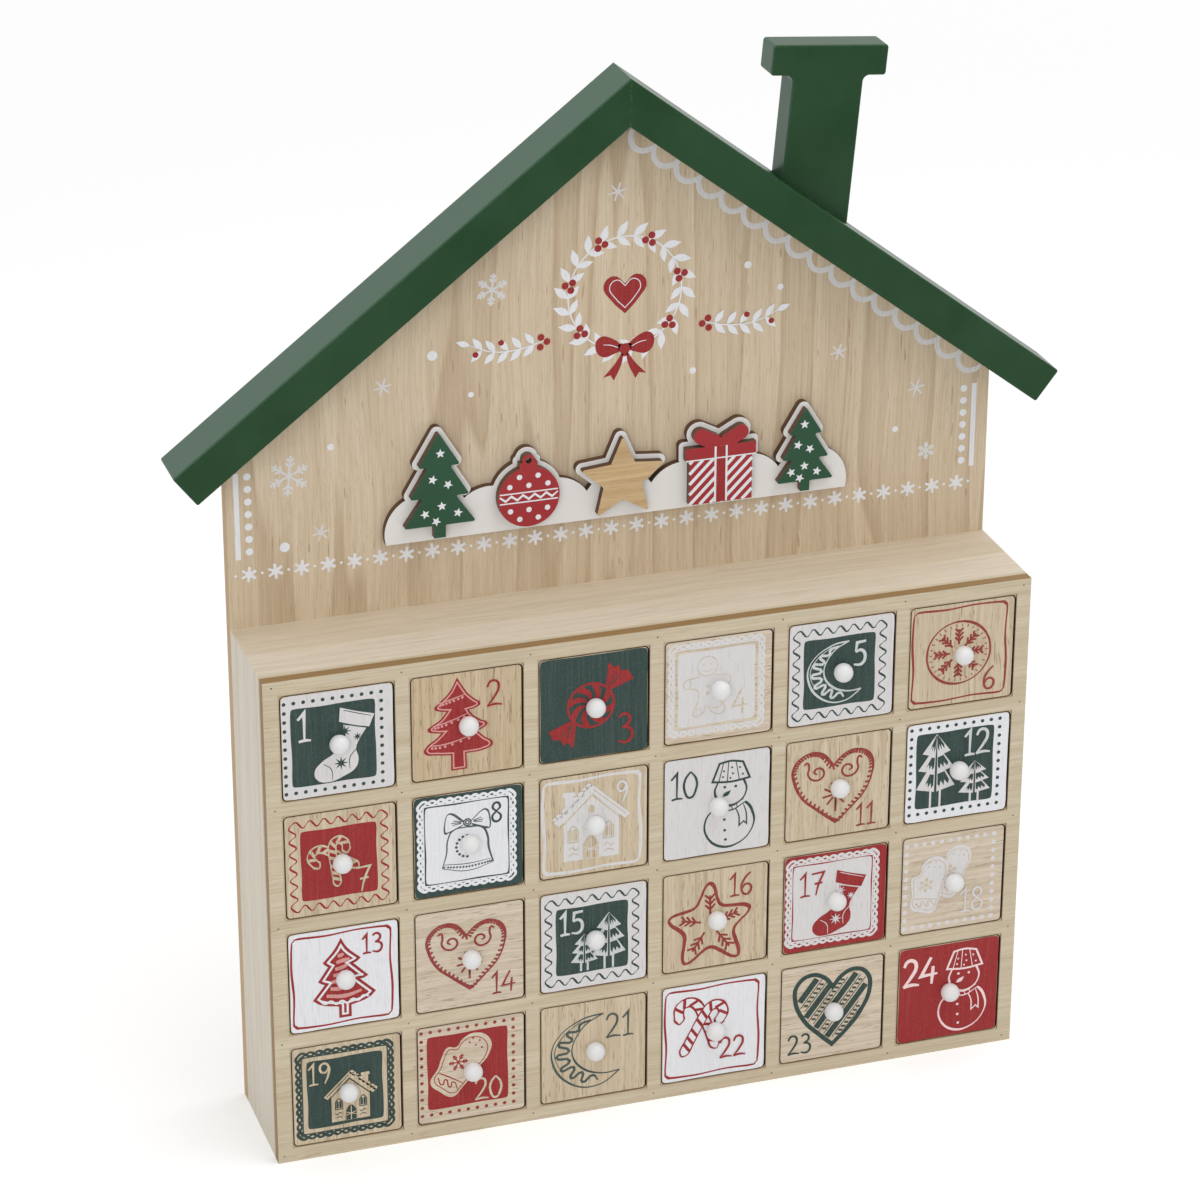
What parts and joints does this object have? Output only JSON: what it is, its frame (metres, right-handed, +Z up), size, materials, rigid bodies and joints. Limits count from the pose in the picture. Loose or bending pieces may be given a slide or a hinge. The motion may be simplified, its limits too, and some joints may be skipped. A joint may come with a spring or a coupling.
{
  "type": "wooden advent calendar",
  "caption": "House-shaped wooden advent calendar: a gabled panel with roof and chimney behind a cabinet of small numbered sliding drawers with ball knobs.",
  "frame": {"origin": "under the middle of the whole object, knobs included, on the surface it stands on", "axes": "+Z up, the drawer fronts face -Y, +X to the right as seen from the front"},
  "size_m": [0.344, 0.0602, 0.4078],
  "materials": {
    "panel_veneer": "bare veneered board, upright grain, white and red print",
    "green_paint": "satin green paint over board, edges worn a little",
    "cabinet_wood": "bare pale solid wood",
    "frame_wood": "bare pale board with browned cut edges",
    "inner_board": "bare thin board",
    "drawer_wood": "bare board with a printed front",
    "knob_paint": "smooth white paint",
    "white_paint": "white paint on plywood, browned cut edges",
    "red_paint": "red paint on plywood, browned cut edges",
    "leaf_paint": "green paint on plywood, browned cut edges",
    "bare_ply": "bare plywood, browned cut edges"
  },
  "bodies": {
    "house": {"house_panel": "panel_veneer", "roof_left": "green_paint", "roof_right": "green_paint", "chimney": "green_paint", "cabinet_rails": "cabinet_wood", "cabinet_sides": "cabinet_wood", "face_frame": "frame_wood", "divider_grid": "inner_board", "ornament_backing": "white_paint", "ornaments_red": "red_paint", "ornaments_green": "leaf_paint", "ornaments_natural": "bare_ply"},
    "drawer_01": {"drawer_01": "drawer_wood", "knob_01": "knob_paint"},
    "drawer_02": {"drawer_02": "drawer_wood", "knob_02": "knob_paint"},
    "drawer_03": {"drawer_03": "drawer_wood", "knob_03": "knob_paint"},
    "drawer_04": {"drawer_04": "drawer_wood", "knob_04": "knob_paint"},
    "drawer_05": {"drawer_05": "drawer_wood", "knob_05": "knob_paint"},
    "drawer_06": {"drawer_06": "drawer_wood", "knob_06": "knob_paint"},
    "drawer_07": {"drawer_07": "drawer_wood", "knob_07": "knob_paint"},
    "drawer_08": {"drawer_08": "drawer_wood", "knob_08": "knob_paint"},
    "drawer_09": {"drawer_09": "drawer_wood", "knob_09": "knob_paint"},
    "drawer_10": {"drawer_10": "drawer_wood", "knob_10": "knob_paint"},
    "drawer_11": {"drawer_11": "drawer_wood", "knob_11": "knob_paint"},
    "drawer_12": {"drawer_12": "drawer_wood", "knob_12": "knob_paint"},
    "drawer_13": {"drawer_13": "drawer_wood", "knob_13": "knob_paint"},
    "drawer_14": {"drawer_14": "drawer_wood", "knob_14": "knob_paint"},
    "drawer_15": {"drawer_15": "drawer_wood", "knob_15": "knob_paint"},
    "drawer_16": {"drawer_16": "drawer_wood", "knob_16": "knob_paint"},
    "drawer_17": {"drawer_17": "drawer_wood", "knob_17": "knob_paint"},
    "drawer_18": {"drawer_18": "drawer_wood", "knob_18": "knob_paint"},
    "drawer_19": {"drawer_19": "drawer_wood", "knob_19": "knob_paint"},
    "drawer_20": {"drawer_20": "drawer_wood", "knob_20": "knob_paint"},
    "drawer_21": {"drawer_21": "drawer_wood", "knob_21": "knob_paint"},
    "drawer_22": {"drawer_22": "drawer_wood", "knob_22": "knob_paint"},
    "drawer_23": {"drawer_23": "drawer_wood", "knob_23": "knob_paint"},
    "drawer_24": {"drawer_24": "drawer_wood", "knob_24": "knob_paint"}
  },
  "joints": [
    {"name": "drawer_01_slide", "type": "slide", "parent": "house", "child": "drawer_01", "axis": [0, -1, 0], "range_m": [0, 0.038]},
    {"name": "drawer_02_slide", "type": "slide", "parent": "house", "child": "drawer_02", "axis": [0, -1, 0], "range_m": [0, 0.038]},
    {"name": "drawer_03_slide", "type": "slide", "parent": "house", "child": "drawer_03", "axis": [0, -1, 0], "range_m": [0, 0.038]},
    {"name": "drawer_04_slide", "type": "slide", "parent": "house", "child": "drawer_04", "axis": [0, -1, 0], "range_m": [0, 0.038]},
    {"name": "drawer_05_slide", "type": "slide", "parent": "house", "child": "drawer_05", "axis": [0, -1, 0], "range_m": [0, 0.038]},
    {"name": "drawer_06_slide", "type": "slide", "parent": "house", "child": "drawer_06", "axis": [0, -1, 0], "range_m": [0, 0.038]},
    {"name": "drawer_07_slide", "type": "slide", "parent": "house", "child": "drawer_07", "axis": [0, -1, 0], "range_m": [0, 0.038]},
    {"name": "drawer_08_slide", "type": "slide", "parent": "house", "child": "drawer_08", "axis": [0, -1, 0], "range_m": [0, 0.038]},
    {"name": "drawer_09_slide", "type": "slide", "parent": "house", "child": "drawer_09", "axis": [0, -1, 0], "range_m": [0, 0.038]},
    {"name": "drawer_10_slide", "type": "slide", "parent": "house", "child": "drawer_10", "axis": [0, -1, 0], "range_m": [0, 0.038]},
    {"name": "drawer_11_slide", "type": "slide", "parent": "house", "child": "drawer_11", "axis": [0, -1, 0], "range_m": [0, 0.038]},
    {"name": "drawer_12_slide", "type": "slide", "parent": "house", "child": "drawer_12", "axis": [0, -1, 0], "range_m": [0, 0.038]},
    {"name": "drawer_13_slide", "type": "slide", "parent": "house", "child": "drawer_13", "axis": [0, -1, 0], "range_m": [0, 0.038]},
    {"name": "drawer_14_slide", "type": "slide", "parent": "house", "child": "drawer_14", "axis": [0, -1, 0], "range_m": [0, 0.038]},
    {"name": "drawer_15_slide", "type": "slide", "parent": "house", "child": "drawer_15", "axis": [0, -1, 0], "range_m": [0, 0.038]},
    {"name": "drawer_16_slide", "type": "slide", "parent": "house", "child": "drawer_16", "axis": [0, -1, 0], "range_m": [0, 0.038]},
    {"name": "drawer_17_slide", "type": "slide", "parent": "house", "child": "drawer_17", "axis": [0, -1, 0], "range_m": [0, 0.038]},
    {"name": "drawer_18_slide", "type": "slide", "parent": "house", "child": "drawer_18", "axis": [0, -1, 0], "range_m": [0, 0.038]},
    {"name": "drawer_19_slide", "type": "slide", "parent": "house", "child": "drawer_19", "axis": [0, -1, 0], "range_m": [0, 0.038]},
    {"name": "drawer_20_slide", "type": "slide", "parent": "house", "child": "drawer_20", "axis": [0, -1, 0], "range_m": [0, 0.038]},
    {"name": "drawer_21_slide", "type": "slide", "parent": "house", "child": "drawer_21", "axis": [0, -1, 0], "range_m": [0, 0.038]},
    {"name": "drawer_22_slide", "type": "slide", "parent": "house", "child": "drawer_22", "axis": [0, -1, 0], "range_m": [0, 0.038]},
    {"name": "drawer_23_slide", "type": "slide", "parent": "house", "child": "drawer_23", "axis": [0, -1, 0], "range_m": [0, 0.038]},
    {"name": "drawer_24_slide", "type": "slide", "parent": "house", "child": "drawer_24", "axis": [0, -1, 0], "range_m": [0, 0.038]}
  ]
}
